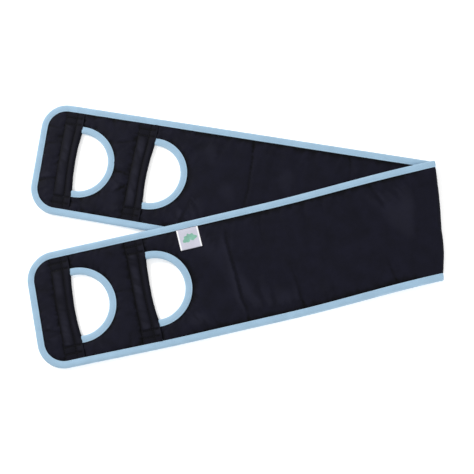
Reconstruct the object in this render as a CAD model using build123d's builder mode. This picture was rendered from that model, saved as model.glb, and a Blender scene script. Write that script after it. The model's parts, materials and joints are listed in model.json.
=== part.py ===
from build123d import *
import os
from math import cos, radians, sin, tan

# A padded gait belt with four D-shaped hand holes, lying folded in half.
# Two equal arms meet at the fold: the rear arm lies flat, the front arm lies over it.
# Each arm is jointed across its width between its two handles, so its end can lift.
# Millimetres. +X runs along the middle of the two arms towards the fold, +Z is up.

os.makedirs("parts", exist_ok=True)

# Belt
belt_width = 200
arm_length = 700  # belt end to the crease of the fold
half_spread = 11.6  # degrees between each arm and the X axis
corner_radius = 47
flex_u = 157  # line across an arm where its end lifts, from the belt's end
flex_gap = 0.3

# Layers, from the underside up
tape = 0.7
shell = 0.6
foam = 4.0
panel_low = tape
foam_low = panel_low + shell
foam_high = foam_low + foam
panel_high = foam_high + shell
belt_thickness = panel_high + tape

# Edge binding and thread
binding_width = 12
thread_inset = 10
thread_width = 0.8
thread_depth = 0.3

# Hand holes and handles
outer_grip_u = 75  # grip edge of the hand hole nearest the belt's end
inner_grip_u = 205
hole_radius = 52
hole_lead = 3  # straight run between the grip and the round side
hole_binding = 12
strip_width = 32
strip_gap = 0.4  # the strip stops this far short of the binding
roll_width = 12.5  # padded roll along the grip edge
webbing_width = 17
webbing_thickness = 1.6
box_stitch_near = 66  # cross-stitch lines, from the middle of the belt
box_stitch_far = 78

# Label
label_u = 283
label_size = (37, 35.8)
label_thickness = 0.4
label_gap = 0.3
label_edge_clearance = 0.7
mark_radius = 8
mark_thickness = 0.15

# Fold
arm_gap = 0.3  # air between the two arms where one lies on the other
crease_setback = 0.85  # flat layers stop this far short of the crease
fold_clearance = 0.2

strip_half = belt_width / 2 - binding_width - strip_gap
grip_pocket = hole_radius + tape

# The belt's box is centred on the origin: work out where the crease falls.
spread = radians(half_spread)
fold_radius = belt_thickness + arm_gap / 2
end_reach = (
    (arm_length - corner_radius) * cos(spread)
    + (belt_width / 2 - corner_radius) * sin(spread)
    + corner_radius
)
crease_x = (end_reach - fold_radius + crease_setback) / 2
fold_x = crease_x - crease_setback
end_x = crease_x - arm_length * cos(spread)
end_y = arm_length * sin(spread)

# Arm planes: origin on the underside at the belt's end, local X along the arm to the fold.
front_height = belt_thickness + arm_gap
rear_plane = Plane(
    origin=(end_x, end_y, 0), x_dir=(cos(spread), -sin(spread), 0), z_dir=(0, 0, 1)
)
front_plane = Plane(
    origin=(end_x, -end_y, front_height), x_dir=(cos(spread), sin(spread), 0), z_dir=(0, 0, 1)
)

# The front arm's end slopes down from its flex line until its tip meets the surface.
slope = front_height / flex_u
flex_foot = front_plane.from_local_coords((flex_u, 0, 0))
slope_dir = Vector(cos(spread), sin(spread), slope).normalized()
across_dir = Vector(-sin(spread), cos(spread), 0)
front_end_plane = Plane(
    origin=flex_foot - slope_dir * flex_u, x_dir=slope_dir, z_dir=slope_dir.cross(across_dir)
)


def write(part, name):
    part.label = name
    export_step(part, f"parts/{name}.step")


def draw_end(inset, mode=Mode.ADD):
    """The belt's rounded end up to the flex line, drawn in by inset on its three free sides."""
    half = belt_width / 2 - inset
    radius = corner_radius - inset
    bend = radius * (1 - cos(radians(45)))
    cut_u = flex_u - flex_gap / 2
    with BuildLine() as edge:
        Line((cut_u, -half), (corner_radius, -half))
        ThreePointArc(
            (corner_radius, -half), (inset + bend, bend - half), (inset, radius - half)
        )
        Line((inset, radius - half), (inset, half - radius))
        ThreePointArc(
            (inset, half - radius), (inset + bend, half - bend), (corner_radius, half)
        )
        Polyline((corner_radius, half), (cut_u, half), (cut_u, -half))
    make_face(edge.edges(), mode=mode)


def draw_main(inset, side, mode=Mode.ADD):
    """An arm from its flex line to the fold, drawn in by inset on its two long sides."""
    half = belt_width / 2 - inset
    cut_u = flex_u + flex_gap / 2
    clearance = fold_clearance if side > 0 else 0
    fold_u = arm_length - (crease_setback + clearance) / cos(spread)
    skew = side * half * tan(spread)
    with BuildLine() as edge:
        Polyline(
            (cut_u, -half), (fold_u - skew, -half), (fold_u + skew, half), (cut_u, half), close=True
        )
    make_face(edge.edges(), mode=mode)


def draw_hole(grip_u, radius, mode=Mode.ADD):
    """A D with its straight side on the grip and its round side away from the belt's end."""
    round_u = grip_u + hole_lead
    with BuildLine() as edge:
        Polyline((round_u, -radius), (grip_u, -radius), (grip_u, radius), (round_u, radius))
        ThreePointArc((round_u, radius), (round_u + radius, 0), (round_u, -radius))
    make_face(edge.edges(), mode=mode)


def draw_bar(u_low, u_high, v_low, v_high, mode=Mode.ADD):
    """A rectangle between two places along the arm and two places across it."""
    with Locations(((u_low + u_high) / 2, (v_low + v_high) / 2)):
        Rectangle(u_high - u_low, v_high - v_low, mode=mode)


def draw_ring(outline, near, far, mode=Mode.ADD):
    """The band between an outline drawn in by near and the same outline drawn in by far."""
    with BuildSketch(mode=Mode.PRIVATE) as ring:
        outline(near)
        outline(far, mode=Mode.SUBTRACT)
    add(ring.sketch, mode=mode)


def draw_handle_seams(grip_u, mode=Mode.ADD):
    """Seams along both sides of the padded channel, and a stitched box beyond each end of the grip."""
    near_u = grip_u - strip_width + thread_width
    far_u = grip_u - roll_width
    for low in (near_u, far_u - thread_width):
        draw_bar(low, low + thread_width, -strip_half, strip_half, mode=mode)
    for side in (-1, 1):
        for cross in (box_stitch_near, box_stitch_far):
            v_low = side * cross - thread_width / 2
            draw_bar(near_u, far_u, v_low, v_low + thread_width, mode=mode)


def thread_bases(plane, low=0, high=belt_thickness):
    """Planes at the bottoms of the thread's two grooves, one in each face of the belt."""
    return (plane.offset(low), plane.offset(high - thread_depth))


def make_panel(name, plane, outline, grip_u, outer_on_top):
    """Outer shell, foam core and inner shell of one stretch of belt, pierced by its hand hole."""
    upper, lower = ("outer", "inner") if outer_on_top else ("inner", "outer")
    layers = (
        (f"{name}_{lower}_shell", panel_low, shell),
        (f"{name}_foam_core", foam_low, foam),
        (f"{name}_{upper}_shell", foam_high, shell),
    )
    for label, low, thickness in layers:
        with BuildPart() as layer:
            with BuildSketch(plane.offset(low)):
                outline(tape)
                draw_hole(grip_u, grip_pocket, mode=Mode.SUBTRACT)
                draw_bar(
                    grip_u - roll_width + tape, grip_u, -grip_pocket, grip_pocket, mode=Mode.SUBTRACT
                )
            extrude(amount=thickness)
            if low == foam_low:
                with BuildSketch(plane.offset(foam_low + (foam - webbing_thickness) / 2)):
                    draw_webbing(grip_u)
                extrude(amount=webbing_thickness, mode=Mode.SUBTRACT)
        write(layer.part, label)


def draw_webbing(grip_u):
    """The strap inside the handle's padded channel."""
    far_u = grip_u - roll_width - thread_width
    draw_bar(far_u - webbing_width, far_u, -strip_half, strip_half)


def make_edge_binding(name, plane, outline):
    """Tape folded round the belt's edge, and the line of stitching that holds it on both faces."""
    with BuildPart() as binding:
        with BuildSketch(plane):
            draw_ring(outline, 0, binding_width)
        extrude(amount=belt_thickness)
        with BuildSketch(plane.offset(panel_low)):
            outline(tape)
        extrude(amount=panel_high - panel_low, mode=Mode.SUBTRACT)
        with BuildSketch(*thread_bases(plane)):
            draw_ring(outline, thread_inset, thread_inset + thread_width)
        extrude(amount=thread_depth, mode=Mode.SUBTRACT)
    write(binding.part, f"{name}_edge_binding")

    with BuildPart() as stitching:
        with BuildSketch(*thread_bases(plane)):
            draw_ring(outline, thread_inset, thread_inset + thread_width)
        extrude(amount=thread_depth)
    write(stitching.part, f"{name}_edge_stitching")


def make_handle(name, plane, grip_u):
    """The handle beside a hand hole: cover, webbing and grip core, and the hole's own binding."""
    core_low = grip_u - roll_width + tape
    core_high = grip_u - tape
    with BuildPart() as cover:
        with BuildSketch(plane):
            draw_bar(grip_u - strip_width, grip_u, -strip_half, strip_half)
        extrude(amount=belt_thickness)
        with BuildSketch(plane.offset(panel_low)):
            draw_bar(grip_u - strip_width, grip_u, -strip_half, strip_half)
            draw_bar(core_high, grip_u, -grip_pocket, grip_pocket, mode=Mode.SUBTRACT)
        extrude(amount=panel_high - panel_low, mode=Mode.SUBTRACT)
        with BuildSketch(*thread_bases(plane)):
            draw_handle_seams(grip_u)
        extrude(amount=thread_depth, mode=Mode.SUBTRACT)
    write(cover.part, f"{name}_handle_cover")

    with BuildPart() as seams:
        with BuildSketch(*thread_bases(plane)):
            draw_handle_seams(grip_u)
        extrude(amount=thread_depth)
    write(seams.part, f"{name}_handle_stitching")

    with BuildPart() as webbing:
        with BuildSketch(plane.offset(foam_low + (foam - webbing_thickness) / 2)):
            draw_webbing(grip_u)
        extrude(amount=webbing_thickness)
    write(webbing.part, f"{name}_handle_webbing")

    with BuildPart() as core:
        with BuildSketch(plane.offset(panel_low)):
            draw_bar(core_low, core_high, -grip_pocket, grip_pocket)
        extrude(amount=panel_high - panel_low)
    write(core.part, f"{name}_grip_core")

    def outline(inset, mode=Mode.ADD):
        draw_hole(grip_u, hole_radius + hole_binding - inset, mode=mode)

    thread_near = hole_binding - thread_inset
    with BuildPart() as binding:
        with BuildSketch(plane):
            draw_ring(outline, 0, hole_binding)
        extrude(amount=belt_thickness)
        with BuildSketch(plane.offset(panel_low)):
            draw_ring(outline, 0, hole_binding - tape)
        extrude(amount=panel_high - panel_low, mode=Mode.SUBTRACT)
        with BuildSketch(*thread_bases(plane)):
            draw_ring(outline, thread_near, thread_near + thread_width)
        extrude(amount=thread_depth, mode=Mode.SUBTRACT)
    write(binding.part, f"{name}_hole_binding")

    with BuildPart() as ring:
        with BuildSketch(*thread_bases(plane)):
            draw_ring(outline, thread_near, thread_near + thread_width)
        extrude(amount=thread_depth)
    write(ring.part, f"{name}_hole_stitching")


def make_fold_layer(name, inner_radius, outer_radius, half_width):
    """One layer's U-turn from the rear arm up to the front arm."""
    with BuildPart() as turn:
        with BuildSketch(Plane.XZ.offset(-half_width)):
            with Locations((fold_x, fold_radius)):
                Circle(outer_radius)
                Circle(inner_radius, mode=Mode.SUBTRACT)
                Rectangle(
                    2 * outer_radius, 2 * outer_radius, align=(Align.MAX, Align.CENTER),
                    mode=Mode.SUBTRACT,
                )
        extrude(amount=2 * half_width)
    write(turn.part, name)


# The four stretches of belt, with their handles
def rear_main_outline(inset, mode=Mode.ADD):
    draw_main(inset, -1, mode)


def front_main_outline(inset, mode=Mode.ADD):
    draw_main(inset, 1, mode)


stretches = (
    ("rear_end", rear_plane, draw_end, outer_grip_u, False),
    ("rear_main", rear_plane, rear_main_outline, inner_grip_u, False),
    ("front_end", front_end_plane, draw_end, outer_grip_u, True),
    ("front_main", front_plane, front_main_outline, inner_grip_u, True),
)
for stretch, plane, outline, grip_u, outer_on_top in stretches:
    make_panel(stretch, plane, outline, grip_u, outer_on_top)
    make_edge_binding(stretch, plane, outline)
    make_handle(stretch, plane, grip_u)

# Fold
inner_fold = fold_radius - belt_thickness
fold_half = belt_width / 2 / cos(spread) - crease_setback * tan(spread)
make_fold_layer("fold_inner_shell", inner_fold + tape, inner_fold + foam_low, fold_half - tape)
make_fold_layer("fold_foam", inner_fold + foam_low, inner_fold + foam_high, fold_half - tape)
make_fold_layer("fold_outer_shell", inner_fold + foam_high, inner_fold + panel_high, fold_half - tape)

with BuildPart() as fold_binding:
    for side in (-1, 1):
        with BuildSketch(Plane.XZ.offset(-side * (fold_half - binding_width))):
            with Locations((fold_x, fold_radius)):
                Circle(fold_radius)
                Circle(inner_fold, mode=Mode.SUBTRACT)
                Rectangle(
                    2 * fold_radius, 2 * fold_radius, align=(Align.MAX, Align.CENTER),
                    mode=Mode.SUBTRACT,
                )
        extrude(amount=-side * binding_width)
    with BuildSketch(Plane.XZ.offset(tape - fold_half)):
        with Locations((fold_x, fold_radius)):
            Circle(fold_radius - tape)
            Circle(inner_fold + tape, mode=Mode.SUBTRACT)
            Rectangle(
                2 * fold_radius, 2 * fold_radius, align=(Align.MAX, Align.CENTER),
                mode=Mode.SUBTRACT,
            )
    extrude(amount=2 * (fold_half - tape), mode=Mode.SUBTRACT)
write(fold_binding.part, "fold_binding")

# Label, sewn by its upper edge beside the front arm's inner binding, with a printed mark
label_low = panel_high + label_gap
label_top_v = belt_width / 2 - binding_width - label_edge_clearance
label_mid_v = label_top_v - label_size[1] / 2
mark_plane = front_plane.offset(label_low + label_thickness - mark_thickness)

with BuildPart() as label:
    with BuildSketch(front_plane.offset(label_low)):
        with Locations((label_u, label_mid_v)):
            Rectangle(*label_size)
    extrude(amount=label_thickness)
    with BuildSketch(mark_plane):
        with Locations((label_u, label_mid_v)):
            Circle(mark_radius)
    extrude(amount=mark_thickness, mode=Mode.SUBTRACT)
write(label.part, "label")

with BuildPart() as label_mark:
    with BuildSketch(mark_plane):
        with Locations((label_u, label_mid_v)):
            Circle(mark_radius)
    extrude(amount=mark_thickness)
write(label_mark.part, "label_mark")
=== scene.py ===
"""A padded gait belt lying folded in half: quilted navy fabric, light blue bound edges, four hand holes.

Each arm of the belt is worked out flat, in millimetres: u runs from the belt's end to the fold, v across it
and w up from its underside. place() then lays it in the row frame, in metres. The front arm sags from the
rear arm down to the floor.
"""

import json
import math

import bpy
import numpy as np
from mathutils import Matrix, Vector
from mathutils.geometry import delaunay_2d_cdt
from mathutils.kdtree import KDTree


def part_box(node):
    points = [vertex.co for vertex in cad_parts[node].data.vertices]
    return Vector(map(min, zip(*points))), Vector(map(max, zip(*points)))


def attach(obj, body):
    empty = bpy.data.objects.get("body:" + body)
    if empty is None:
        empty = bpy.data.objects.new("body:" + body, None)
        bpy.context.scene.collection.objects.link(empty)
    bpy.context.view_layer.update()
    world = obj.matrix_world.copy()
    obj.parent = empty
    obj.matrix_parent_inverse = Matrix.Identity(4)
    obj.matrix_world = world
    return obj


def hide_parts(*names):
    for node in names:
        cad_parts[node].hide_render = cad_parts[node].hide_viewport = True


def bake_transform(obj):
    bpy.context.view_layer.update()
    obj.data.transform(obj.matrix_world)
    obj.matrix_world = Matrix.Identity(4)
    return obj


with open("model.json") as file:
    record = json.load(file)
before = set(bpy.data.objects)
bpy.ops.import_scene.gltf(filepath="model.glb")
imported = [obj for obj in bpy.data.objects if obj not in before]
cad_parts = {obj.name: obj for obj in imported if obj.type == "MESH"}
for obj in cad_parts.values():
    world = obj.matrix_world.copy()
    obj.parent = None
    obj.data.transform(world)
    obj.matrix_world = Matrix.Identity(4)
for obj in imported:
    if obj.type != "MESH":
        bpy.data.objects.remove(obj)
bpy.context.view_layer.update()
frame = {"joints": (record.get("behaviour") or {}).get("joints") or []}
joints = {joint["name"]: joint for joint in frame["joints"]}
crease_place = joints["belt_unfold"]["pos_m"]
crease = Vector(crease_place)

MM = 0.001

# Belt, in millimetres
HALF_WIDTH = 100
CORNER_RADIUS = 47
THICKNESS = 6.6
MIDDLE = THICKNESS / 2
FLEX_U = 157
FLEX_LOW_U = 142
FLEX_HIGH_U = 172
BINDING_WIDTH = 12
THREAD_INSET = 10.4
# Painted highlight: how far in from the tape's outer edge the lighter colour reaches
TAPE_EDGE_HIGHLIGHT = 3.2
TAPE_SEAM_HEIGHT = 5.95
CREASE_SETBACK = 0.85
FOLD_BULGE = 2.9
FOLD_SLUMP = 0.85
FOLD_SLUMP_PLACE = -0.64
FOLD_SLUMP_REACH = 0.3
FOLD_SQUEEZE = 0.6
FOLD_TUCK = 4
FOLD_TAPE_RADIUS = 0.05
FOLD_TAPE_STEP = 2
LINING_SHARE = 0.2
FLOOR_GAP = 0.04

# Hand holes and handles
GRIPS_U = (75, 205)
HOLE_RADIUS = 52
HOLE_LEAD = 3
TAPE_OVERRUN = 0.4
STRIP_WIDTH = 32
CHANNEL_WIDTH = 19.5
ROLL_WIDTH = STRIP_WIDTH - CHANNEL_WIDTH
STRIP_HALF = HALF_WIDTH - BINDING_WIDTH
GRIP_BOW = 3.6
BOX_NEAR = 66
BOX_FAR = 78
BOX_DIP = 0.75
SEAM_X = 0.9
CHANNEL_SEAM_HEIGHT = 5.6
BOX_SEAM_HEIGHT = 5.75
GRIP_HALF = 53
GRIP_HEIGHT = 3.55
CHANNEL_BASE = 5.55
CHANNEL_PUFF = 1.75
ROLL_BASE = 5.4
ROLL_PUFF = 1.45
STITCHED_BASE = 5.85
STITCHED_PUFF = 1.05
PADDED_HALF = 60
UNDERSIDE_FLAT = 60
TAIL_START = 76

# Padding
SEAM_HEIGHT = 5.25
CROWN = 1.35
PANEL_STEP = 3.4
PANEL_SCATTER = 0.25
PANEL_CLEARANCE = 0.62
PANEL_TUCK = 3
CROWN_RUN = 10
PUCKER_RUN = 8.5
SWELL_RUN = 18
FOLD_EASE = 50


def wander(t, spacing, seed):
    """Smooth random values between -1 and 1 along t, with a bump about every spacing."""
    t = np.asarray(t, float) / spacing
    low = int(math.floor(t.min())) - 1
    values = np.random.default_rng(seed).uniform(-1, 1, int(math.ceil(t.max())) - low + 3)
    index = np.floor(t).astype(int) - low
    ease = t - np.floor(t)
    ease = ease * ease * (3 - 2 * ease)
    return values[index] * (1 - ease) + values[index + 1] * ease


def smooth(t):
    t = np.clip(t, 0, 1)
    return t * t * (3 - 2 * t)


class Arm:
    """One half of the belt, from its end to the fold."""

    def __init__(self, name, lift_joint, base, seed, push, skew):
        joint = joints[lift_joint]
        self.name = name
        self.end_body = f"{name}_end"
        self.main_body = f"{name}_main"
        self.base = base
        self.seed = seed
        self.across = -Vector(joint["axis"])
        self.along = self.across.cross(Vector((0, 0, 1)))
        self.end = Vector(joint["pos_m"]) / MM - self.along * FLEX_U
        self.crease_x = crease_place[0] / MM
        self.push = push
        self.skew = skew

    def fold_u(self, v):
        """Where the flat part of the arm ends, at each place across it."""
        fold_x = self.crease_x - CREASE_SETBACK
        return (fold_x - self.end.x - v * self.across.x) / self.along.x

    def plan(self, u, v):
        """The arm as it lies: pushed up a little towards the fold, and its end a little out of square."""
        pushed = self.push[0] * (0.6 + 0.4 * smooth(u / 200)) * (1 - smooth((u - 300) / 300))
        swung = self.push[1] * (0.3 + 0.7 * smooth(u / 250)) * (1 - smooth((u - 420) / 250))
        u, v = u + pushed - self.skew * v * (1 - smooth((u - 20) / 220)), v + swung
        x = self.end.x + u * self.along.x + v * self.across.x
        y = self.end.y + u * self.along.y + v * self.across.y
        return x, y

    def place(self, u, v, w):
        """Flat-pattern millimetres to row-frame metres."""
        x, y = self.plan(np.asarray(u, float), np.asarray(v, float))
        if self is rear:
            w = np.minimum(w, PRESSED_HEIGHT + 3 * smooth(beyond_front_arm(x, y) / 14))
        z = np.asarray(w, float) + self.base * over_rear_arm(x, y)
        return np.stack([x, y, z], axis=-1) * MM

    def point(self, u, v, w):
        return Vector([float(c) for c in self.place(u, v, w)])


# How the arms lie on each other, in millimetres
SAG_START = 10
SAG_RUN = 80
PRESSED_HEIGHT = 6.82
ARM_GAP = 0.3


def over_rear_arm(x, y):
    """1 where the front arm lies on the rear arm, easing to 0 where it has sagged to the floor."""
    dx, dy = x - rear.end.x, y - rear.end.y
    beside = -HALF_WIDTH - (dx * rear.across.x + dy * rear.across.y)
    return 1 - smooth((beside - SAG_START) / SAG_RUN)


def beyond_front_arm(x, y):
    """How far a place lies outside the front arm's inner edge, where nothing presses on the rear arm."""
    dx, dy = x - front.end.x, y - front.end.y
    return dx * front.across.x + dy * front.across.y - HALF_WIDTH


front_base = crease_place[2] / MM + ARM_GAP / 2
rear = Arm("rear", "rear_end_lift", 0, 11, push=(0, 0), skew=0.07)
front = Arm("front", "front_end_lift", front_base, 29, push=(7.5, -5.5), skew=0)


# Materials


def new_material(name, colour, roughness, sheen=0.0, specular=0.09):
    material = bpy.data.materials.new(name)
    material.use_nodes = True
    nodes = material.node_tree.nodes
    shader = nodes["Principled BSDF"]
    shader.inputs["Roughness"].default_value = roughness
    shader.inputs["Specular IOR Level"].default_value = specular
    shader.inputs["Sheen Weight"].default_value = sheen
    shader.inputs["Sheen Roughness"].default_value = 0.45
    shader.inputs["Base Color"].default_value = (*colour, 1)
    return material, nodes, material.node_tree.links, shader


def woven(name, colour, thread, roughness=0.7, sheen=0.016, mottle=0.25, bump=0.35, tone_and_highlight=(1.0, 1.0, 1.0),
          tone_and_shading=0.3, rib=0.0):
    """Cloth with a plain weave, its thread width in millimetres, mottled, made paler where marked (a painted
    highlight on ridges and tape edges, and a label's paler selvedge) and darker where marked (painted shade
    in seams and creases).
    """
    material, nodes, links, shader = new_material(name, colour, roughness, sheen)
    flat = nodes.new("ShaderNodeAttribute")
    flat.attribute_name = "flat"
    split = nodes.new("ShaderNodeSeparateXYZ")
    links.new(flat.outputs["Vector"], split.inputs[0])

    def wave(axis, length):
        scale = nodes.new("ShaderNodeMath")
        scale.operation = "MULTIPLY"
        scale.inputs[1].default_value = 2 * math.pi / (length * MM)
        links.new(split.outputs[axis], scale.inputs[0])
        sine = nodes.new("ShaderNodeMath")
        sine.operation = "SINE"
        links.new(scale.outputs[0], sine.inputs[0])
        return sine.outputs[0]

    def combine(operation, a, b):
        node = nodes.new("ShaderNodeMath")
        node.operation = operation
        for socket, value in zip(node.inputs, (a, b)):
            if isinstance(value, (int, float)):
                socket.default_value = value
            else:
                links.new(value, socket)
        return node.outputs[0]

    weave = combine("MULTIPLY", wave("X", 2 * thread), wave("Y", 2 * thread))
    if rib:
        weave = combine("ADD", combine("MULTIPLY", weave, 0.3), wave("X", rib))
    noise = nodes.new("ShaderNodeTexNoise")
    noise.inputs["Scale"].default_value = 38
    noise.inputs["Detail"].default_value = 6
    noise.inputs["Roughness"].default_value = 0.62
    links.new(flat.outputs["Vector"], noise.inputs["Vector"])
    fibre = nodes.new("ShaderNodeTexNoise")
    fibre.inputs["Scale"].default_value = 900
    fibre.inputs["Detail"].default_value = 2
    links.new(flat.outputs["Vector"], fibre.inputs["Vector"])

    tone_and_shading_attribute = nodes.new("ShaderNodeAttribute")
    tone_and_shading_attribute.attribute_name = "tone_and_shading"
    darker = tuple(c * (1 - mottle) for c in colour)
    lighter = tuple(min(1, c * (1 + mottle)) for c in colour)
    ramp = nodes.new("ShaderNodeValToRGB")
    ramp.color_ramp.elements[0].position = 0.33
    ramp.color_ramp.elements[0].color = (*darker, 1)
    ramp.color_ramp.elements[1].position = 0.67
    ramp.color_ramp.elements[1].color = (*lighter, 1)
    links.new(noise.outputs["Fac"], ramp.inputs["Fac"])
    # Where the per-point attribute is positive the colour moves towards the paler one given: a painted
    # highlight on ridges and tape edges, and the label's paler selvedge.
    tone_and_highlight_mix = nodes.new("ShaderNodeMix")
    tone_and_highlight_mix.data_type = "RGBA"
    tone_and_highlight_mix.inputs["B"].default_value = (*tone_and_highlight, 1)
    links.new(ramp.outputs["Color"], tone_and_highlight_mix.inputs["A"])
    links.new(combine("MULTIPLY", tone_and_shading_attribute.outputs["Fac"], tone_and_shading), tone_and_highlight_mix.inputs["Factor"])
    # Painted shade: where the per-point attribute is negative the colour darkens towards an eighth of itself,
    # in seams, grooves and creases.
    crevice_shade = nodes.new("ShaderNodeMix")
    crevice_shade.data_type = "RGBA"
    crevice_shade.inputs["B"].default_value = (*(0.12 * c for c in colour), 1)
    links.new(tone_and_highlight_mix.outputs["Result"], crevice_shade.inputs["A"])
    links.new(combine("MULTIPLY", tone_and_shading_attribute.outputs["Fac"], -1.0), crevice_shade.inputs["Factor"])
    weave_tint = nodes.new("ShaderNodeMix")
    weave_tint.data_type = "RGBA"
    weave_tint.blend_type = "MULTIPLY"
    weave_tint.inputs["Factor"].default_value = 1
    links.new(crevice_shade.outputs["Result"], weave_tint.inputs["A"])
    shade = combine("ADD", combine("MULTIPLY", weave, 0.10), 0.92)
    grey = nodes.new("ShaderNodeCombineColor")
    for socket in grey.inputs:
        links.new(shade, socket)
    links.new(grey.outputs[0], weave_tint.inputs["B"])
    links.new(weave_tint.outputs["Result"], shader.inputs["Base Color"])

    height = combine("ADD", weave, combine("MULTIPLY", fibre.outputs["Fac"], 0.8))
    bumps = nodes.new("ShaderNodeBump")
    bumps.inputs["Strength"].default_value = bump
    bumps.inputs["Distance"].default_value = 0.25 * MM * thread
    links.new(height, bumps.inputs["Height"])
    links.new(bumps.outputs["Normal"], shader.inputs["Normal"])
    rough = combine("ADD", combine("MULTIPLY", noise.outputs["Fac"], 0.16), roughness - 0.08)
    links.new(rough, shader.inputs["Roughness"])
    return material


NAVY = (0.0055, 0.0055, 0.0124)
BLACK = (0.0036, 0.0036, 0.0080)
BLUE = (0.325, 0.485, 0.63)
navy_fabric = woven("navy_fabric", NAVY, 0.45, tone_and_highlight=(0.028, 0.028, 0.046), tone_and_shading=0.8)
handle_fabric = woven("handle_fabric", BLACK, 0.55, tone_and_highlight=(0.019, 0.019, 0.032), tone_and_shading=0.8)
binding_tape = woven("binding_tape", BLUE, 0.4, roughness=0.7, mottle=0.05, tone_and_highlight=(0.56, 0.74, 0.88),
                     tone_and_shading=0.5, rib=1.3)
blue_thread = woven("blue_thread", (0.45, 0.66, 0.84), 0.18, roughness=0.55, mottle=0.06)
black_thread = woven("black_thread", (0.013, 0.013, 0.020), 0.18, roughness=0.5, mottle=0.2)
label_satin = woven("label_satin", (0.55, 0.55, 0.64), 0.22, roughness=0.5, mottle=0.03,
                    tone_and_highlight=(0.93, 0.93, 0.95), tone_and_shading=1.0, bump=0.2)
label_print = woven("label_print", (0.23, 0.47, 0.37), 0.22, roughness=0.6, mottle=0.35, bump=0.2)


# Meshes


def make_piece(name, points, faces, flat, tone_and_shading, material):
    """A mesh with its flat-pattern place, in metres, and its paler tone, painted highlight and painted shade
    kept as attributes for the materials.
    """
    mesh = bpy.data.meshes.new(name)
    mesh.from_pydata(np.asarray(points).reshape(-1, 3).tolist(), [], [list(map(int, f)) for f in faces])
    mesh.update()
    for polygon in mesh.polygons:
        polygon.use_smooth = True
    attribute = mesh.attributes.new("flat", "FLOAT_VECTOR", "POINT")
    attribute.data.foreach_set("vector", np.asarray(flat, np.float32).ravel() * MM)
    attribute = mesh.attributes.new("tone_and_shading", "FLOAT", "POINT")
    attribute.data.foreach_set("value", np.asarray(tone_and_shading, np.float32).ravel())
    mesh.materials.append(material)
    piece = bpy.data.objects.new(name, mesh)
    bpy.context.scene.collection.objects.link(piece)
    return piece


def grid_faces(rows, columns, wrap=False, start=0):
    """Quads over a grid of points; wrap joins each row's last point to its first."""
    faces = []
    for i in range(rows - 1):
        for j in range(columns if wrap else columns - 1):
            k = (j + 1) % columns
            corner = start + i * columns
            faces.append((corner + j, corner + k, corner + columns + k, corner + columns + j))
    return faces


def swept(path, inward, profile, wobble):
    """Points of a profile of (inset, height) pairs carried along a flat path, as u, v, w grids."""
    inset, height = (np.array(c, float)[None, :] for c in zip(*profile))
    u = path[:, :1] + inward[:, :1] * inset
    v = path[:, 1:] + inward[:, 1:] * inset
    w = height + wobble
    return u, v, np.clip(w, FLOOR_GAP, None)


def arc_length(path):
    steps = np.hypot(*np.diff(path, axis=0).T)
    return np.concatenate([[0], np.cumsum(steps)])


def edge_path(arm, step=3.0):
    """The belt's edge from the fold round its end and back to the fold, with directions into the fabric."""
    straight = np.arange(0, 1, step / (arm.fold_u(0) - CORNER_RADIUS))
    runs, normals = [], []
    centre_v = HALF_WIDTH - CORNER_RADIUS
    high_u, low_u = arm.fold_u(HALF_WIDTH), arm.fold_u(-HALF_WIDTH)
    for t in straight:
        runs.append((high_u + (CORNER_RADIUS - high_u) * t, HALF_WIDTH))
        normals.append((0, -1))
    turns = np.radians(np.arange(90, 180, math.degrees(step / CORNER_RADIUS)))
    for a in turns:
        normals.append((-math.cos(a), -math.sin(a)))
        runs.append((CORNER_RADIUS + CORNER_RADIUS * math.cos(a), centre_v + CORNER_RADIUS * math.sin(a)))
    for v in np.arange(centre_v, -centre_v, -step):
        runs.append((0, v))
        normals.append((1, 0))
    for a in turns + math.pi / 2:
        normals.append((-math.cos(a), -math.sin(a)))
        runs.append((CORNER_RADIUS + CORNER_RADIUS * math.cos(a), -centre_v + CORNER_RADIUS * math.sin(a)))
    for t in (*straight, 1.0):
        runs.append((CORNER_RADIUS + (low_u - CORNER_RADIUS) * t, -HALF_WIDTH))
        normals.append((0, 1))
    return np.array(runs, float), np.array(normals, float)


def hole_path(grip_u, step=2.5):
    """A hand hole's round side, from one end of the grip to the other, with directions into the fabric."""
    round_u = grip_u + HOLE_LEAD
    runs = [(grip_u - TAPE_OVERRUN, HOLE_RADIUS)]
    normals = [(0, 1)]
    for a in np.radians(np.linspace(90, -90, int(math.pi * HOLE_RADIUS / step))):
        runs.append((round_u + HOLE_RADIUS * math.cos(a), HOLE_RADIUS * math.sin(a)))
        normals.append((math.cos(a), math.sin(a)))
    runs.append((grip_u - TAPE_OVERRUN, -HOLE_RADIUS))
    normals.append((0, -1))
    return np.array(runs, float), np.array(normals, float)


# The tape's section, as (inset from the edge, height): its upper hem, over the top and down to the middle
HALF_PROFILE = ((12.0, 4.9), (12.0, 5.75), (11.8, 6.1), (11.2, 6.22), (10.75, 6.1), (10.4, 5.92), (10.0, 6.1),
                (9.2, 6.42), (7.4, 6.62), (5.0, 6.7), (3.0, 6.55), (1.6, 6.05), (0.7, 5.2), (0.2, 4.3))
BINDING_PROFILE = (*HALF_PROFILE, (0, MIDDLE), *((s, THICKNESS - w) for s, w in reversed(HALF_PROFILE)))


def binding_wobble(length, profile, seed):
    """Small puckers of the tape: across the flat between stitches, and the gathers of its inner edge."""
    columns = []
    for s, w in profile:
        side = 1 if w > MIDDLE else -1
        amount = 0.10 + 0.10 * (s > 10.6) + 0.07 * (4 < s < 9)
        lengthwise = wander(length, 3.6, seed + side) + 0.8 * wander(length, 9, seed + 7 * side)
        columns.append(side * amount * lengthwise)
    return np.stack(columns, axis=1)


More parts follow.
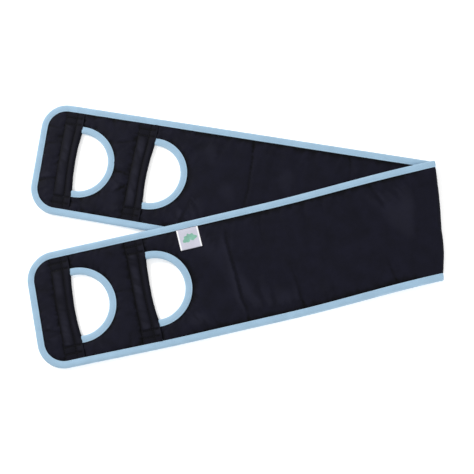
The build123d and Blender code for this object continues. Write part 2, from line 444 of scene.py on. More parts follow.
def make_binding(arm, name, path, inward, seed, to_fold):
    length = arc_length(path)
    wobble = binding_wobble(length, BINDING_PROFILE, seed)
    if to_fold:
        from_fold = np.minimum(length, length[-1] - length)[:, None]
        wobble *= smooth(from_fold / 20)
    u, v, w = swept(path, inward, BINDING_PROFILE, wobble)
    if to_fold:
        pull = 1 - smooth(from_fold / 80)
        u = u + pull * (arm.fold_u(v) - arm.fold_u(path[:, 1:]))
    ring = len(BINDING_PROFILE)
    faces = grid_faces(len(path), ring, wrap=True)
    if not to_fold:
        faces.append(tuple(range(ring - 1, -1, -1)))
        faces.append(tuple(range((len(path) - 1) * ring, len(path) * ring)))
    inset = np.array([s if h > MIDDLE else -s for s, h in BINDING_PROFILE])[None, :] + 0 * w
    along = length[:, None] + 0 * w
    # Painted highlight along the tape's rounded outer edge and along its inner edge, stronger in places along
    # the tape.
    tone_and_shading = np.clip((TAPE_EDGE_HIGHLIGHT - np.abs(inset)) / 3, 0, 1) + np.clip((np.abs(inset) - 10.6) / 1.4, 0, 1)
    tone_and_shading = tone_and_shading * (0.6 + 0.4 * wander(length, 14, seed + 3)[:, None])
    flat = np.stack([along, inset, 0 * w], axis=-1)
    return make_piece(name, arm.place(u, v, w), faces, flat, tone_and_shading, binding_tape)


# One stitch, as (along, across, up): a point, three rings of five and a point
STITCH = ((-1.15, 0, 0), *((a, r * math.cos(t), r * 0.8 * math.sin(t) + lift)
          for a, r, lift in ((-0.75, 0.28, 0.10), (0, 0.36, 0.16), (0.75, 0.28, 0.10))
          for t in (math.radians(72 * k) for k in range(5))), (1.15, 0, 0))
STITCH_SIDES = 5


def stitch_faces(start):
    n = STITCH_SIDES
    last = start + 3 * n + 1
    faces = [(start, start + 1 + (k + 1) % n, start + 1 + k) for k in range(n)]
    faces += grid_faces(3, n, wrap=True, start=start + 1)
    faces += [(last, last - n + k, last - n + (k + 1) % n) for k in range(n)]
    return faces


def make_stitches(arm, name, lines, material, pitch=3.2):
    """Rows of stitches on both faces. Each line is a flat path with the height of the surface it lies on."""
    template = np.array(STITCH)
    points, faces, flats = [], [], []
    start = 0
    for path, height in lines:
        length = arc_length(path)
        for place in np.arange(pitch / 2, length[-1] - pitch / 2, pitch):
            u = np.interp(place, length, path[:, 0])
            v = np.interp(place, length, path[:, 1])
            ahead_u = np.interp(place + 0.5, length, path[:, 0]) - u
            ahead_v = np.interp(place + 0.5, length, path[:, 1]) - v
            reach = math.hypot(ahead_u, ahead_v)
            tu, tv = ahead_u / reach, ahead_v / reach
            pu = u + template[:, 0] * tu - template[:, 1] * tv
            pv = v + template[:, 0] * tv + template[:, 1] * tu
            for top in (True, False):
                rise = height + template[:, 2]
                pw = rise if top else THICKNESS - rise
                points.append(arm.place(pu, pv, np.clip(pw, 0.02, None)))
                bead = stitch_faces(start)
                faces += bead if top else [tuple(reversed(f)) for f in bead]
                flats.append(template + (place, 0, 0))
                start += len(template)
    points = np.concatenate(points)
    flat = np.concatenate(flats)
    return make_piece(name, points, faces, flat, np.zeros(len(points)), material)


# Handles


def grip_shift(v):
    """How far the grip bows towards the belt's end, at each place across the belt."""
    return -GRIP_BOW * np.clip(1 - (v / (HOLE_RADIUS + 2)) ** 2, 0, 1)


def strip_height(x, v, seed):
    """Height of a handle strip's upper face, x from its seam to the grip edge and v across the belt."""
    x, v = np.broadcast_arrays(x, v)
    reach = np.abs(v)
    open_grip = 1 - smooth((reach - GRIP_HALF) / 5)
    dip = np.exp(-((reach - BOX_NEAR) / 1.7) ** 2) + np.exp(-((reach - BOX_FAR) / 1.7) ** 2)
    tail = 1 - smooth((reach - TAIL_START) / 10)
    puff = (0.35 + 0.65 * (1 - smooth((reach - PADDED_HALF) / 8))) * tail
    ripple = 0.3 * wander(v + 0.4 * x, 4.2, seed) + 0.25 * wander(v + 1.7 * x, 11, seed + 1)
    across = (x - CHANNEL_WIDTH / 2) / (CHANNEL_WIDTH / 2)
    channel = CHANNEL_BASE + (CHANNEL_PUFF * puff + ripple * tail) * np.clip(1 - across**2, 0, 1) ** 0.75
    y = (x - CHANNEL_WIDTH - ROLL_WIDTH / 2) / (ROLL_WIDTH / 2)
    inner = ROLL_BASE + (ROLL_PUFF * tail + 0.5 * ripple) * np.clip(1 - y**2, 0, 1)
    rolled = MIDDLE + GRIP_HEIGHT * np.clip(1 - np.clip(y, 0, 1) ** 2.3, 0, 1) ** 0.5
    stitched = STITCHED_BASE + (STITCHED_PUFF * tail + 0.3 * ripple) * np.ones_like(y)
    outer = rolled * open_grip + stitched * (1 - open_grip)
    roll = np.where(y < 0, inner, outer)
    height = np.where(x < CHANNEL_WIDTH, channel, roll)
    return height - BOX_DIP * dip * (height > CHANNEL_SEAM_HEIGHT) * (x < STRIP_WIDTH - 1)


# Places across a handle strip, from its seam to the grip's edge, closer together where it curves more
STRIP_STATIONS = (0, 0.5, 1.2, 2.2, 3.6, 5.2, 7.2, 9.5, 11.8, 13.9, 15.7, 17.2, 18.2, 19.0, 19.5,
                  20.1, 21, 22.3, 24, 26, 27.8, 29.3, 30.5, 31.3, 31.7, 31.93, 32)


def make_handle(arm, name, grip_u, seed):
    """The handle's cover: a padded channel and a rolled grip, seen on both faces of the belt."""
    v = np.arange(-STRIP_HALF - 1, STRIP_HALF + 1.1, 1.6)[:, None]
    x = np.array(STRIP_STATIONS)[None, :]
    top = strip_height(x, v, seed)
    under = np.clip(THICKNESS - strip_height(x, v, seed + 50), 0.05, None)
    under[:, -1] = np.minimum(under[:, -1], top[:, -1])
    share = np.clip(x / STRIP_WIDTH, 0, 1) ** 1.5
    edge_wave = 0.25 * wander(v, 13, seed + 5)
    u = grip_u - STRIP_WIDTH + x + (grip_shift(v) + edge_wave) * (0.25 + 0.75 * share)
    rows, stations = top.shape
    full_u = np.concatenate([u, u[:, ::-1]], axis=1)
    full_v = np.broadcast_to(v, (rows, 2 * stations))
    full_w = np.concatenate([top, under[:, ::-1]], axis=1)
    faces = grid_faces(rows, 2 * stations, wrap=True)
    faces.append(tuple(range(2 * stations - 1, -1, -1)))
    faces.append(tuple(range((rows - 1) * 2 * stations, rows * 2 * stations)))
    across = np.concatenate([x + 0 * v, UNDERSIDE_FLAT - x[:, ::-1] + 0 * v], axis=1)
    # Painted highlight on the highest parts of the cover, and painted shade along its seams and box
    # stitching.
    tone_and_shading = np.clip(full_w - 6.5, 0, 1) * (0.6 + 0.4 * wander(full_v[:, 0], 17, seed + 9)[:, None])
    seams = np.exp(-((x - 0.6) / 1.0) ** 2) + np.exp(-((x - CHANNEL_WIDTH) / 1.15) ** 2)
    boxes = sum(np.exp(-((np.abs(v) - box) / 1.3) ** 2) for box in (BOX_NEAR, BOX_FAR))
    boxes = boxes * (x < STRIP_WIDTH - 4)
    seam_shade = np.clip(seams + boxes, 0, 1)
    tone_and_shading = tone_and_shading - np.concatenate([seam_shade, seam_shade[:, ::-1]], axis=1)
    flat = np.stack([full_v, across, 0 * across], axis=-1)
    return make_piece(name, arm.place(full_u, full_v, full_w), faces, flat, tone_and_shading, handle_fabric)


def handle_seam_lines(grip_u):
    """Where the handle's stitching runs, with the height of the cover there."""
    lines = []
    v = np.arange(-STRIP_HALF + 1, STRIP_HALF, 2.0)
    for x in (SEAM_X, CHANNEL_WIDTH):
        share = (x / STRIP_WIDTH) ** 1.5
        u = grip_u - STRIP_WIDTH + x + grip_shift(v) * (0.25 + 0.75 * share)
        lines.append((np.stack([u, v], axis=1), CHANNEL_SEAM_HEIGHT))
    for side in (-1, 1):
        for cross in (BOX_NEAR, BOX_FAR):
            u = np.arange(grip_u - STRIP_WIDTH + 1, grip_u - ROLL_WIDTH + 6, 1.0)
            lines.append((np.stack([u, np.full(len(u), side * float(cross))], axis=1), BOX_SEAM_HEIGHT))
    return lines


# Padded panels


def inside_hole(u, v, grip_u, radius, slot):
    """Whether a flat place is in the opening left in a panel for a hand hole and its grip."""
    round_u = grip_u + HOLE_LEAD
    curved = (u - round_u) ** 2 + v**2 < radius**2
    return ((u > round_u) & curved) | ((u <= round_u) & (u > grip_u - slot) & (np.abs(v) < radius))


# How far a hand hole's edge in the panel is hidden, under its tape and under the rolled grip
HOLE_TUCK = 3
GRIP_SLOT = 14


def panel_outline(arm):
    """Corner points of the panel's edge, hidden under the binding, in order."""
    half = HALF_WIDTH - PANEL_TUCK
    radius = CORNER_RADIUS - PANEL_TUCK
    centre_v = half - radius
    points = []
    for v, side in ((half, 1), (-half, -1)):
        count = int((arm.fold_u(v) - CORNER_RADIUS) / PANEL_STEP)
        run = np.linspace(arm.fold_u(v), CORNER_RADIUS, count, endpoint=False)
        bend = np.radians(np.linspace(90, 180, 22))
        arc = [(CORNER_RADIUS + radius * math.cos(a), side * (centre_v + radius * math.sin(a))) for a in bend]
        stretch = [(u, v) for u in run] + arc
        points += stretch if side > 0 else stretch[::-1]
        if side > 0:
            points += [(PANEL_TUCK, w) for w in np.linspace(centre_v, -centre_v, 32)[1:-1]]
    fold_v = np.linspace(-half, half, int(2 * half / PANEL_STEP))[1:-1]
    points += [(arm.fold_u(w), w) for w in fold_v]
    return points


def hole_outline(grip_u):
    radius = HOLE_RADIUS + HOLE_TUCK
    round_u = grip_u + HOLE_LEAD
    slot_u = grip_u - GRIP_SLOT
    turns = np.radians(np.linspace(-90, 90, 52))
    arc = [(round_u + radius * math.cos(a), radius * math.sin(a)) for a in turns]
    back = np.linspace(radius, -radius, 33)
    near = [(u, radius) for u in np.linspace(round_u, slot_u, 6)[1:-1]]
    far = [(u, -radius) for u in np.linspace(slot_u, round_u, 6)[1:-1]]
    return arc + near + [(slot_u, v) for v in back] + far


def panel_mesh(arm):
    """Flat points and triangles of a panel: its edge and holes exactly, and an even scatter between them."""
    loops = [panel_outline(arm)] + [hole_outline(g) for g in GRIPS_U]
    border = np.array([p for loop in loops for p in loop])
    rng = np.random.default_rng(arm.seed)
    row_step = PANEL_STEP * math.sqrt(3) / 2
    grid = []
    for k, v in enumerate(np.arange(-HALF_WIDTH, HALF_WIDTH, row_step)):
        for u in np.arange(0, arm.fold_u(0) + 30, PANEL_STEP):
            grid.append((u + (k % 2) * PANEL_STEP / 2, v))
    grid = np.array(grid) + rng.uniform(-PANEL_SCATTER, PANEL_SCATTER, (len(grid), 2)) * PANEL_STEP
    u, v = grid.T
    half = HALF_WIDTH - PANEL_TUCK
    keep = (np.abs(v) < half) & (u > PANEL_TUCK) & (u < arm.fold_u(v))
    reach = np.hypot(CORNER_RADIUS - u, np.abs(v) - (HALF_WIDTH - CORNER_RADIUS))
    corner = (u < CORNER_RADIUS) & (np.abs(v) > HALF_WIDTH - CORNER_RADIUS)
    keep &= ~(corner & (reach > CORNER_RADIUS - PANEL_TUCK))
    for grip_u in GRIPS_U:
        keep &= ~inside_hole(u, v, grip_u, HOLE_RADIUS + HOLE_TUCK, GRIP_SLOT)
    grid = grid[keep]
    tree = KDTree(len(border))
    for i, (bu, bv) in enumerate(border):
        tree.insert((bu, bv, 0), i)
    tree.balance()
    clear = [tree.find((gu, gv, 0))[2] > PANEL_CLEARANCE * PANEL_STEP for gu, gv in grid]
    grid = grid[np.array(clear)]
    every = np.concatenate([border, grid])
    edges, start = [], 0
    for loop in loops:
        n = len(loop)
        edges += [(start + i, start + (i + 1) % n) for i in range(n)]
        start += n
    verts, _, faces, *_ = delaunay_2d_cdt([Vector(p) for p in every], edges, [], 1, 1e-5)
    flat = np.array([tuple(p) for p in verts])
    middles = np.array([flat[list(f)].mean(axis=0) for f in faces])
    mu, mv = middles.T
    solid = np.ones(len(faces), bool)
    for grip_u in GRIPS_U:
        solid &= ~inside_hole(mu, mv, grip_u, HOLE_RADIUS + HOLE_TUCK, GRIP_SLOT)
    return flat, [f for f, s in zip(faces, solid) if s], edges


SEAM_APART = 1000  # keeps the puckers of one seam from matching the next seam's


def seam_fields(arm, u, v):
    """For each seam near a flat place: how far off it is, and how far along the seam."""
    fields = []
    edge_v = HALF_WIDTH - THREAD_INSET
    corner_v = HALF_WIDTH - CORNER_RADIUS
    seam_radius = CORNER_RADIUS - THREAD_INSET
    beyond = np.hypot(np.clip(CORNER_RADIUS - u, 0, None), np.clip(np.abs(v) - corner_v, 0, None))
    corner = (u < CORNER_RADIUS) & (np.abs(v) > corner_v)
    side_off = np.where(corner, seam_radius - beyond, edge_v - np.abs(v))
    turn = np.arctan2(np.abs(v) - corner_v, CORNER_RADIUS - u + 1e-9)
    fields.append((side_off, u + SEAM_APART * (v > 0)))
    end_off = np.where(corner, seam_radius - beyond, u - THREAD_INSET)
    end_along = np.where(corner, np.sign(v) * (corner_v + turn * seam_radius), v)
    fields.append((end_off, end_along + 3 * SEAM_APART))
    for k, grip_u in enumerate(GRIPS_U):
        round_u = grip_u + HOLE_LEAD
        radius = HOLE_RADIUS + THREAD_INSET
        angle = np.arctan2(v, u - round_u)
        off = np.hypot(u - round_u, v) - radius
        off = np.where(u < grip_u, np.hypot(grip_u - u, np.clip(np.abs(v) - radius, 0, None)) + 2, off)
        fields.append((off, angle * radius + (5 + k) * SEAM_APART))
        strip_low = grip_u - STRIP_WIDTH + 0.9 + 0.25 * grip_shift(v)
        off = np.where(u < strip_low, strip_low - u, np.maximum(u - grip_u, 0))
        fields.append((off, v + (7 + k) * SEAM_APART))
    return fields


# Soft creases across the arms: where each starts and ends in the flat pattern, and how deep it is.
CREASES = {
    "rear": (((374, 96), (381, -60), 0.9), ((540, 92), (548, 20), 0.5), ((268, -96), (286, -30), 0.6),
             ((10, 22), (40, 30), 1.2), ((12, -44), (44, -34), 1.1), ((16, 58), (44, 52), 0.9),
             ((126, 96), (131, 62), 0.7), ((136, 44), (172, 56), 1.0), ((142, -4), (176, -12), 1.1),
             ((150, -42), (178, -22), 1.2), ((120, -96), (126, -66), 0.6), ((230, 96), (238, 68), 0.5)),
    "front": (((352, -94), (345, 78), 0.8), ((452, -96), (440, -10), 0.7), ((610, -92), (602, -40), 0.7),
              ((600, 90), (622, 40), 0.5), ((150, -94), (158, -58), 0.8), ((172, -94), (166, -62), 0.6),
              ((142, 78), (160, 62), 0.7), ((12, -30), (44, -40), 1.0), ((14, 40), (44, 30), 0.9),
              ((142, 10), (176, 2), 0.9), ((300, -94), (292, -58), 0.6), ((88, -95), (96, -64), 0.6)),
}


def crease_depth(arm, u, v):
    depth = np.zeros_like(u)
    for (u0, v0), (u1, v1), deep in CREASES[arm.name]:
        run = math.hypot(u1 - u0, v1 - v0)
        du, dv = (u1 - u0) / run, (v1 - v0) / run
        along = (u - u0) * du + (v - v0) * dv
        off = (v - v0) * du - (u - u0) * dv + 2.2 * wander(along, 24, 5 + int(u0))
        fade = smooth((along + 4) / 14) * smooth((run - along + 10) / 40)
        valley = np.exp(-((off / 1.9) ** 2)) - 0.25 * np.exp(-(((off - 6) / 4) ** 2))
        depth += deep * fade * valley
    return depth


def panel_rise(arm, u, v, seed):
    """How high the padding's cover stands above its seams: crowned between them and puckered beside them."""
    nearest = np.full_like(u, 1e9)
    puckers = np.zeros_like(u)
    for off, along in seam_fields(arm, u, v):
        near = np.exp(-np.clip(off, 0, None) / PUCKER_RUN) * smooth((off + 2) / 4)
        waves = wander(along + 0.35 * off, 4.6, seed) + 0.7 * wander(along - 0.3 * off, 9.5, seed + 1)
        puckers += 0.5 * near * waves
        nearest = np.minimum(nearest, np.clip(off, 0, None))
    crown = CROWN * (1 - np.exp(-nearest / CROWN_RUN))
    inland = 1 - np.exp(-nearest / SWELL_RUN)
    swell = 0.28 * wander(u + 0.6 * v, 38, seed + 2) * inland
    swell += 0.18 * wander(v - 0.4 * u, 29, seed + 3) * inland
    return crown + puckers + swell - crease_depth(arm, u, v) * (1 - np.exp(-nearest / 6))


# The cover's height above its seams at the fold, and the settings of the cloth simulation
FLAT_RISE = 0.65
SETTLE_SCALE = 0.02
SETTLE_FRAMES = 22
SPARE_CLOTH = 0.03
SETTLE_NOISE = 0.35
HELD_NEAR = 0.8
FOLD_HELD = 6
SMOOTHING_ROUNDS = 45
WRINKLE_DEPTH = 1.15
WRINKLE_SPREAD = 1.1
WRINKLE_MIDDLE = 0.18


def settle(arm, flat, triangles, held):
    """Cloth relief in millimetres of the panel's two covers, simulated flat, side by side.

    They are cut slightly too big, sewn down where held, and blown out a little by the padding.
    """
    rng = np.random.default_rng(arm.seed + 5)
    count = len(flat)
    points = np.zeros((2 * count, 3))
    points[:, :2] = np.tile(flat, (2, 1))
    points[count:, 1] += 3 * HALF_WIDTH
    points[:, 2] = rng.uniform(-SETTLE_NOISE, SETTLE_NOISE, 2 * count) * np.tile(~held, 2)
    faces = [tuple(f) for f in triangles] + [tuple(i + count for i in f) for f in triangles]
    mesh = bpy.data.meshes.new("settling")
    mesh.from_pydata((points * SETTLE_SCALE).tolist(), [], faces)
    sheet = bpy.data.objects.new("settling", mesh)
    bpy.context.scene.collection.objects.link(sheet)
    group = sheet.vertex_groups.new(name="held")
    group.add(np.flatnonzero(np.tile(held, 2)).tolist(), 1, "REPLACE")
    cloth = sheet.modifiers.new("cloth", "CLOTH")
    settings = cloth.settings
    settings.quality = 6
    settings.mass = 0.3
    settings.tension_stiffness = 20
    settings.compression_stiffness = 20
    settings.shear_stiffness = 8
    settings.bending_stiffness = 0.12
    settings.tension_damping = 8
    settings.compression_damping = 8
    settings.shear_damping = 8
    settings.bending_damping = 1
    settings.vertex_group_mass = "held"
    settings.shrink_min = -SPARE_CLOTH
    settings.use_pressure = True
    settings.uniform_pressure_force = 1.2
    settings.effector_weights.gravity = 0
    cloth.collision_settings.use_collision = False
    cloth.collision_settings.use_self_collision = False
    cloth.point_cache.frame_end = SETTLE_FRAMES
    scene = bpy.context.scene
    for step in range(1, SETTLE_FRAMES + 1):
        scene.frame_set(step)
    settled = sheet.evaluated_get(bpy.context.evaluated_depsgraph_get()).data
    relief = np.empty(6 * count, np.float32)
    settled.vertices.foreach_get("co", relief)
    relief = relief.reshape(-1, 3)[:, 2].astype(float) / SETTLE_SCALE
    scene.frame_set(1)
    bpy.data.objects.remove(sheet)
    bpy.data.meshes.remove(mesh)
    return [wrinkles(face_relief, triangles) for face_relief in (relief[:count], relief[count:])]


def wrinkles(relief, triangles):
    """The fine folds of a relief alone, without its broad swell, in millimetres and kept shallow."""
    corners = np.array([list(f) for f in triangles])
    a = corners.ravel()
    b = np.roll(corners, 1, axis=1).ravel()
    a, b = np.concatenate([a, b]), np.concatenate([b, a])
    degree = np.bincount(a, minlength=len(relief))
    broad = relief
    for _ in range(SMOOTHING_ROUNDS):
        broad = np.bincount(a, weights=broad[b], minlength=len(relief)) / np.maximum(degree, 1)
    return WRINKLE_DEPTH * np.tanh((relief - broad) / WRINKLE_SPREAD)


def make_panel(arm):
    """An arm's padding in its cover, with its hand holes cut out, open only where it meets the fold."""
    flat, triangles, border = panel_mesh(arm)
    u, v = flat.T
    ease = smooth((arm.fold_u(v) - u) / FOLD_EASE)
    nearest = np.min([np.clip(off, 0, None) for off, _ in seam_fields(arm, u, v)], axis=0)
    reliefs = (0, 0)
    reliefs = settle(arm, flat, triangles, (nearest < HELD_NEAR) | (u > arm.fold_u(v) - FOLD_HELD))
    rises = []
    for seed, relief in zip((arm.seed, arm.seed + 400), reliefs):
        near_seams = WRINKLE_MIDDLE + (1 - WRINKLE_MIDDLE) * np.exp(-nearest / SWELL_RUN)
        rise = panel_rise(arm, u, v, seed) + relief * near_seams
        rises.append(FLAT_RISE + (rise - FLAT_RISE) * ease)
    top = SEAM_HEIGHT + rises[0]
    under = np.clip(THICKNESS - SEAM_HEIGHT - rises[1], 0.08, None)
    count = len(flat)
    faces = [tuple(f) for f in triangles] + [tuple(i + count for i in reversed(f)) for f in triangles]
    used = dict.fromkeys((a, b) for face in triangles for a, b in zip(face, (*face[1:], face[0])))
    at_fold = u > arm.fold_u(v) - 0.01
    for a, b in used:
        if (b, a) not in used and not (at_fold[a] and at_fold[b]):
            faces.append((a, a + count, b + count, b))
    points = np.concatenate([arm.place(u, v, top), arm.place(u, v, under)])
    both = np.stack([np.tile(u, 2), np.tile(v, 2), 0 * np.tile(u, 2)], axis=-1)
    level = np.concatenate(rises)
    # Painted highlight where the cover stands highest, and painted shade where it dips beside its seams and
    # along its creases.
    crease_shade = np.tile(np.clip(crease_depth(arm, u, v), 0, 1), 2)
    tone_and_shading = np.clip(level - CROWN - 0.3, 0, 1) - np.clip(0.45 - level, 0, 0.9) - 0.8 * crease_shade
    return make_piece(f"{arm.name}_panel", points, faces, both, tone_and_shading, navy_fabric)


# Fold


FOLD_TURN = np.radians(np.linspace(0, 180, 19))
FOLD_FLAT_U = 720  # where the weave of the fold starts in the flat pattern


def fold_points(y, radius, push):
    """Points round the U-turn from the rear arm up to the front arm, one row of them for each y."""
    middle = crease.z / MM
    x = crease.x / MM - CREASE_SETBACK + (FOLD_SQUEEZE * radius + push) * np.sin(FOLD_TURN)
    z = middle - radius * np.cos(FOLD_TURN)
    return np.stack(np.broadcast_arrays(x, y, z), axis=-1)


def make_fold_skin(name, half, radius, bulge, outward):
    """One face of the cover at the fold. It slumps outwards, more so towards its lower end."""
    y = np.linspace(-half, half, 80)[:, None]
    sway = 0.35 * wander(y, 16, 77) + 0.15 * wander(y, 5, 78)
    open_half = half - (BINDING_WIDTH - FOLD_TUCK)
    share = y / open_half
    free = np.clip(1 - share ** 2, 0, 1) ** 0.7
    slump = FOLD_SLUMP * np.exp(-((share - FOLD_SLUMP_PLACE) / FOLD_SLUMP_REACH) ** 2)
    tuck = 0.4 * smooth((np.abs(y) - open_half + 2) / 3)
    push = (bulge * (1 + slump) + sway) * free - tuck
    skin = fold_points(y, radius, push)
    faces = grid_faces(len(y), len(FOLD_TURN))
    if outward:
        faces = [tuple(reversed(f)) for f in faces]
    along = FOLD_FLAT_U + FOLD_TURN * THICKNESS + 0 * y
    flat = np.stack([along, np.broadcast_to(y, along.shape), 0 * along], axis=-1)
    return make_piece(name, skin * MM, faces, flat, np.zeros(along.shape), navy_fabric)


def make_fold_tape(name, side, half, profile):
    """Part of the edge binding's profile carried round the U-turn."""
    profile = np.array(profile)
    y = side * (half - profile[:, :1] / rear.along.x)
    strip = fold_points(y, front.base + THICKNESS - crease.z / MM - profile[:, 1:], 0)
    strip[..., 2] = np.clip(strip[..., 2], FLOOR_GAP, None)
    strip = strip.transpose(1, 0, 2)
    faces = grid_faces(len(FOLD_TURN), len(profile))
    if side > 0:
        faces = [tuple(reversed(f)) for f in faces]
    along = FOLD_TAPE_STEP * np.arange(len(FOLD_TURN))[:, None] + 0 * profile[None, :, 0]
    inset = np.where(profile[:, 1] > MIDDLE, profile[:, 0], -profile[:, 0])[None, :] + 0 * along
    # Painted highlight along the tape's rounded outer edge.
    tone_and_shading = np.clip((TAPE_EDGE_HIGHLIGHT - np.abs(inset)) / 3, 0, 1)
    flat = np.stack([along, inset, 0 * along], axis=-1)
    return make_piece(name, strip * MM, faces, flat, tone_and_shading, binding_tape)


# Build the belt

for arm in (rear, front):
    panel = make_panel(arm)
    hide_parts(*(f"{body}_{layer}" for body in (arm.end_body, arm.main_body)
                         for layer in ("inner_shell", "outer_shell", "foam_core")))
    path, inward = edge_path(arm)
    binding = make_binding(arm, f"{arm.name}_binding", path, inward, arm.seed + 31, True)
    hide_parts(f"{arm.end_body}_edge_binding", f"{arm.main_body}_edge_binding")
    stitches = make_stitches(arm, f"{arm.name}_binding_stitches",
                             [(path + inward * THREAD_INSET, TAPE_SEAM_HEIGHT)], blue_thread)
    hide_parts(f"{arm.end_body}_edge_stitching", f"{arm.main_body}_edge_stitching")
    for piece in (panel, binding, stitches):
        arm.point(FLEX_LOW_U, 0, MIDDLE)
        arm.point(FLEX_HIGH_U, 0, MIDDLE)
        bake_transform(piece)
    for body, grip_u in zip((arm.end_body, arm.main_body), GRIPS_U):
        seed = arm.seed + int(grip_u)
        handle = make_handle(arm, f"{body}_handle", grip_u, seed)
        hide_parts(f"{body}_handle_cover", f"{body}_handle_webbing", f"{body}_grip_core")
        seams = make_stitches(arm, f"{body}_handle_stitches", handle_seam_lines(grip_u), black_thread)
        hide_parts(f"{body}_handle_stitching")
        path, inward = hole_path(grip_u)
        ring = make_binding(arm, f"{body}_hole_tape", path, inward, seed + 17, False)
        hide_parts(f"{body}_hole_binding")
        thread = make_stitches(arm, f"{body}_hole_stitches",
                               [(path + inward * THREAD_INSET, TAPE_SEAM_HEIGHT)], blue_thread)
        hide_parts(f"{body}_hole_stitching")
        for piece in (handle, seams, ring, thread):
            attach(piece, body)

fold_half = (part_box("fold_binding")[1].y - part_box("fold_binding")[0].y) / 2 / MM


def blend_round_fold(piece):
    """Bakes the piece's placement into its mesh."""
    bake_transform(piece)


# Each skin of the fold: how far it lies from the middle of the U-turn, and the nodes it stands for
SKIN_RADII = {"fold_lining": FLAT_RISE + 0.2, "fold_cover": THICKNESS - FLAT_RISE + 0.1}
SKIN_NODES = {"fold_lining": ["fold_inner_shell"], "fold_cover": ["fold_outer_shell", "fold_foam"]}
for name, radius in SKIN_RADII.items():
    outward = name == "fold_cover"
    bulge = FOLD_BULGE if outward else LINING_SHARE * FOLD_BULGE
    skin = make_fold_skin(name, fold_half - FOLD_TUCK, radius, bulge, outward)
    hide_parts(*SKIN_NODES[name])
    blend_round_fold(skin)

MIDDLE_INDEX = len(HALF_PROFILE)
for side, word in ((1, "upper"), (-1, "lower")):
    for face, profile, radius in (("inner", BINDING_PROFILE[:MIDDLE_INDEX + 1], FOLD_TAPE_RADIUS),
                                  ("outer", BINDING_PROFILE[MIDDLE_INDEX:], MIDDLE)):
        tape = make_fold_tape(f"fold_tape_{word}_{face}", side, fold_half, profile)
        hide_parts("fold_binding")
        blend_round_fold(tape)


# Label

LABEL_U = 283
LABEL_TOP_V = 87.3
LABEL_WIDTH = 37
LABEL_DROP = 35.8
LABEL_SKEW = 0.035
LABEL_HEIGHT = 7.0
LABEL_THICKNESS = 0.28
LABEL_CURL = 0.9
CURL_START = 18
SELVEDGE_PLACE = 15.8
MARK_LIFT = 0.31
MARK_DOWN = 17
MARK_REACH = 13.5


def label_curl(across, down):
    """How far the ribbon stands off the belt: its free edge curls up, most at its corners."""
    corners = 0.5 + 0.5 * (across / (LABEL_WIDTH / 2)) ** 2
    return LABEL_CURL * smooth((down - CURL_START) / 18) * corners + 0.18 * np.sin(across / 4.1 + down / 9)


def make_label():
    """A ribbon label sewn in beside the binding."""
    columns, rows = 25, 25
    across = np.linspace(-LABEL_WIDTH / 2, LABEL_WIDTH / 2, columns)[None, :]
    down = np.linspace(0, LABEL_DROP, rows)[:, None]
    u = LABEL_U + across + LABEL_SKEW * down
    v = LABEL_TOP_V - down + 0 * across
    rise = LABEL_HEIGHT + label_curl(across, down) + 0.25 * smooth(down / 5)
    rise[:3] -= 0.5
    points = np.concatenate([front.place(u, v, rise + LABEL_THICKNESS).reshape(-1, 3),
                             front.place(u, v, rise).reshape(-1, 3)])
    count = rows * columns
    faces = [tuple(reversed(f)) for f in grid_faces(rows, columns)]
    faces += [tuple(i + count for i in reversed(f)) for f in faces]
    rim = [*range(columns), *(i * columns + columns - 1 for i in range(1, rows))]
    rim += [(rows - 1) * columns + j for j in range(columns - 2, -1, -1)]
    rim += [i * columns for i in range(rows - 2, 0, -1)]
    faces += [(a, b, b + count, a + count) for a, b in zip(rim, rim[1:] + rim[:1])]
    flat = np.stack([across + 0 * down, down + 0 * across, 0 * down + 0 * across], axis=-1).reshape(-1, 3)
    selvedge = smooth(np.abs(across) - SELVEDGE_PLACE) + 0 * down
    return make_piece("label_ribbon", points, faces, np.tile(flat, (2, 1)), np.tile(selvedge.ravel(), 2),
                      label_satin)


def make_mark():
    """A plain rounded leaf shape printed on the label."""
    rings, sides = 6, 56
    turn = np.linspace(0, 2 * math.pi, sides, endpoint=False)[None, :]
    size = (np.arange(1, rings + 1) / rings)[:, None]
    lobes = 0.20 * np.cos(2 * turn - 0.5) + 0.10 * np.cos(3 * turn + 0.9) + 0.09 * np.cos(7 * turn)
    reach = MARK_REACH * (0.66 + lobes)
    across = 0.5 + reach * size * np.cos(turn)
    down = MARK_DOWN - 0.9 * reach * size * np.sin(turn)
    u = LABEL_U + across + LABEL_SKEW * down
    v = LABEL_TOP_V - down
    rise = LABEL_HEIGHT + label_curl(across, down) + LABEL_THICKNESS + MARK_LIFT
    middle = front.place(u[0].mean(), v[0].mean(), rise[0].mean())[None, :]
    points = np.concatenate([middle, front.place(u, v, rise).reshape(-1, 3)])
    faces = [(0, 1 + k, 1 + (k + 1) % sides) for k in range(sides)]
    faces += [tuple(reversed(f)) for f in grid_faces(rings, sides, wrap=True, start=1)]
    flat = np.concatenate([[[0.5, MARK_DOWN, 0]], np.stack([across, down, 0 * down], axis=-1).reshape(-1, 3)])
    return make_piece("label_leaf", points, faces, flat, np.zeros(len(points)), label_print)


label = make_label()
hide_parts("label")
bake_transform(label)
mark = make_mark()
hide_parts("label_mark")
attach(mark, "label")


# Studio

VIEW_TILT = math.radians(12.5)
VIEW_TURN = math.radians(19.14)
VIEW_ROLL = math.radians(-0.9)
VIEW_DISTANCE = 1.2666
VIEW_FIELD = math.radians(35)
view_target = Vector((crease.x - 0.3335, -0.0179, 0.005))

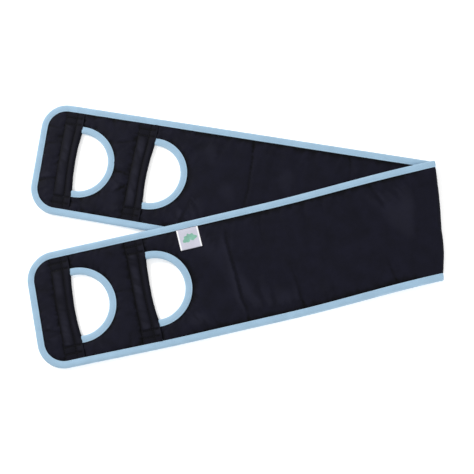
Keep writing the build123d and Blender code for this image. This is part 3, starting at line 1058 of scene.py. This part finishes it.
towards = Vector((math.sin(VIEW_TURN) * math.sin(VIEW_TILT), -math.cos(VIEW_TURN) * math.sin(VIEW_TILT),
                  math.cos(VIEW_TILT)))
level = (-towards).cross(Vector((0, 1, 0))).normalized()
upright = level.cross(-towards)
right = level * math.cos(VIEW_ROLL) + upright * math.sin(VIEW_ROLL)
up = upright * math.cos(VIEW_ROLL) - level * math.sin(VIEW_ROLL)
camera_data = bpy.data.cameras.new("camera")
camera_data.angle = VIEW_FIELD
camera = bpy.data.objects.new("camera", camera_data)
bpy.context.scene.collection.objects.link(camera)
axes = Matrix((right, up, towards)).transposed().to_4x4()
camera.matrix_world = Matrix.Translation(view_target + towards * VIEW_DISTANCE) @ axes
bpy.context.scene.camera = camera

FLOOR_HALF = 30
FLOOR_HEIGHT = -0.0004
floor_corners = [(x * FLOOR_HALF, y * FLOOR_HALF, FLOOR_HEIGHT)
                 for x, y in ((-1, -1), (1, -1), (1, 1), (-1, 1))]
floor_mesh = bpy.data.meshes.new("floor")
floor_mesh.from_pydata(floor_corners, [], [(0, 1, 2, 3)])
floor = bpy.data.objects.new("floor", floor_mesh)
bpy.context.scene.collection.objects.link(floor)
floor_material, _, _, floor_shader = new_material("floor_white", (0.93, 0.93, 0.93), 0.9)
floor_shader.inputs["Emission Color"].default_value = (1, 1, 1, 1)
floor_shader.inputs["Emission Strength"].default_value = 0.3
floor_mesh.materials.append(floor_material)


def area_light(name, place, size, power, aim=(0, 0, 0)):
    data = bpy.data.lights.new(name, "AREA")
    data.shape = "DISK"
    data.size = size
    data.energy = power
    light = bpy.data.objects.new(name, data)
    bpy.context.scene.collection.objects.link(light)
    light.location = place
    light.rotation_euler = (Vector(aim) - Vector(place)).to_track_quat("-Z", "Y").to_euler()


area_light("key", place=(-2.08, 1.6, 1.7), size=1.12, power=78)
area_light("fill", place=(1.6, -1.0, 1.1), size=1.6, power=20)
world = bpy.data.worlds.new("studio")
world.use_nodes = True
world.node_tree.nodes["Background"].inputs["Color"].default_value = (1, 1, 1, 1)
world.node_tree.nodes["Background"].inputs["Strength"].default_value = 0.6
bpy.context.scene.world = world
bpy.context.scene.view_settings.view_transform = "Standard"
